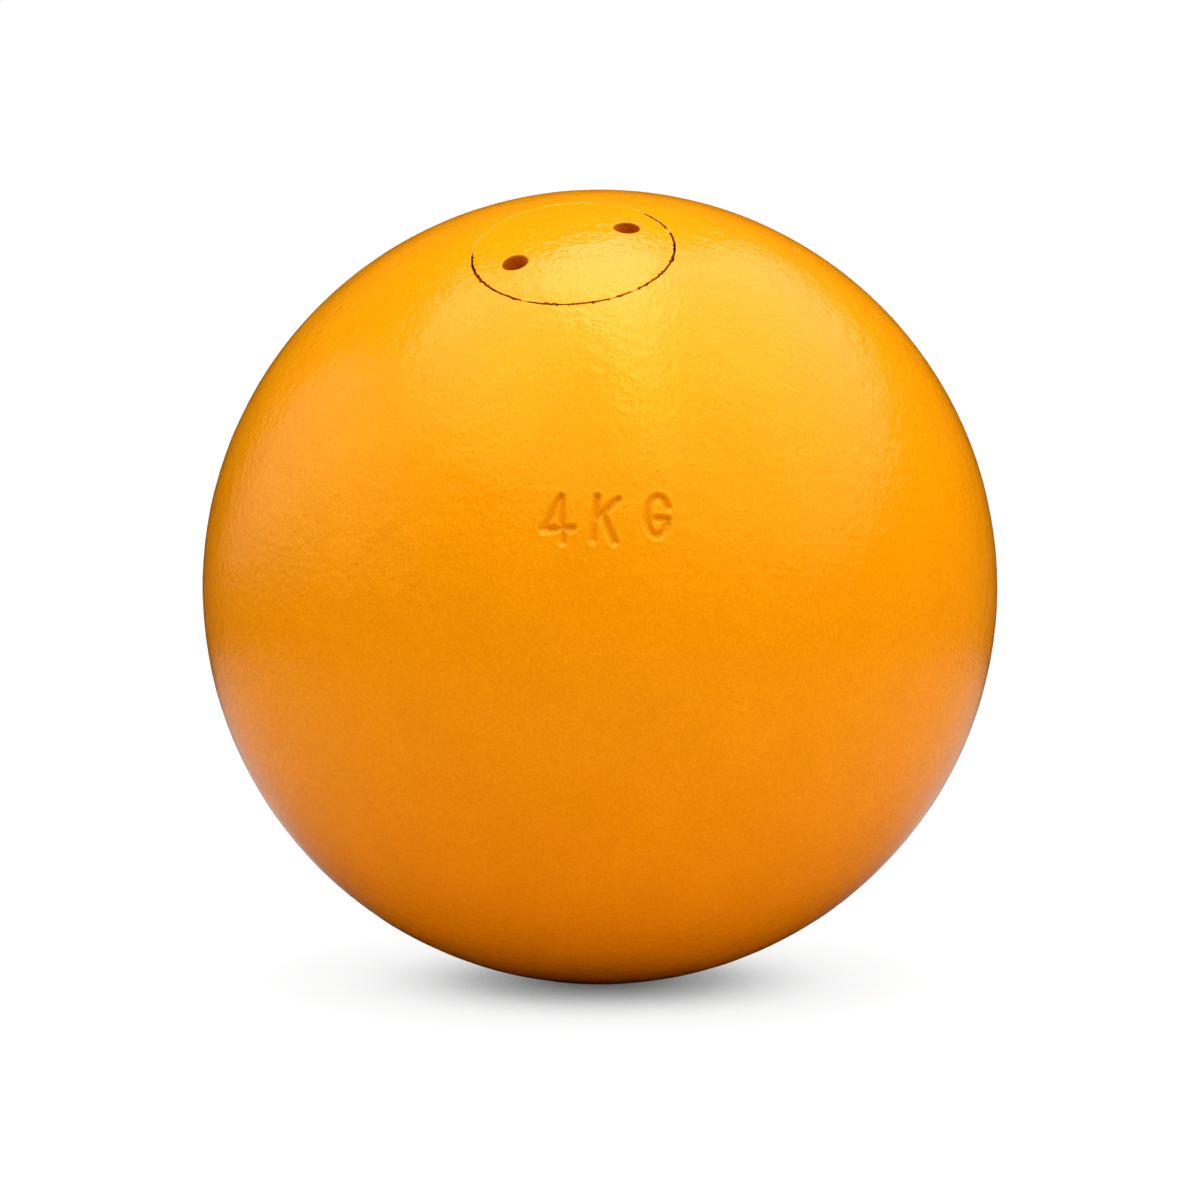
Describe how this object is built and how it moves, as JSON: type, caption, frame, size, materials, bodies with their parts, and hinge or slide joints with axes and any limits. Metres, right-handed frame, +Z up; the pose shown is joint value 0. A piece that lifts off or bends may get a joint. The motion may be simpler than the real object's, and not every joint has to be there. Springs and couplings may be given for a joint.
{
  "type": "shot put",
  "caption": "Painted iron throwing ball with a domed, flush screw plug that closes a drilled pocket of lead ballast.",
  "frame": {"origin": "centre of the ball", "axes": "+Z up and -Y towards the viewer, with the ball as it was set down in the picture: its plug's axis leans 25.3 degrees towards -Y and 4.3 degrees towards -X"},
  "size_m": [0.1034, 0.1034, 0.1034],
  "materials": {
    "enamel": "gloss",
    "rubber": "satin",
    "felt": "matte",
    "lead": "satin"
  },
  "bodies": {
    "shot": {"shot_body": "enamel", "packing_wad": "felt", "ballast_ball_01": "lead", "ballast_ball_02": "lead", "ballast_ball_03": "lead", "ballast_ball_04": "lead", "ballast_ball_05": "lead", "ballast_ball_06": "lead", "ballast_ball_07": "lead", "ballast_ball_08": "lead", "ballast_ball_09": "lead", "ballast_ball_10": "lead", "ballast_ball_11": "lead", "ballast_ball_12": "lead", "ballast_ball_13": "lead", "ballast_ball_14": "lead", "ballast_ball_15": "lead", "ballast_ball_16": "lead"},
    "seal": {"seal_ring": "rubber"},
    "plug": {"closing_plug": "enamel"}
  },
  "joints": [
    {"name": "plug_travel", "type": "slide", "parent": "shot", "child": "seal", "axis": [-0.0678, -0.4274, 0.9015], "range_m": [0, 0.012]},
    {"name": "plug_turn", "type": "hinge", "parent": "seal", "child": "plug", "pos_m": [0, 0, 0], "axis": [-0.0678, -0.4274, 0.9015], "range_deg": [0, 2880]}
  ],
  "couplings": [
    {"joint": "plug_travel", "follows": "plug_turn", "m_per_rad": 0.00023873}
  ]
}
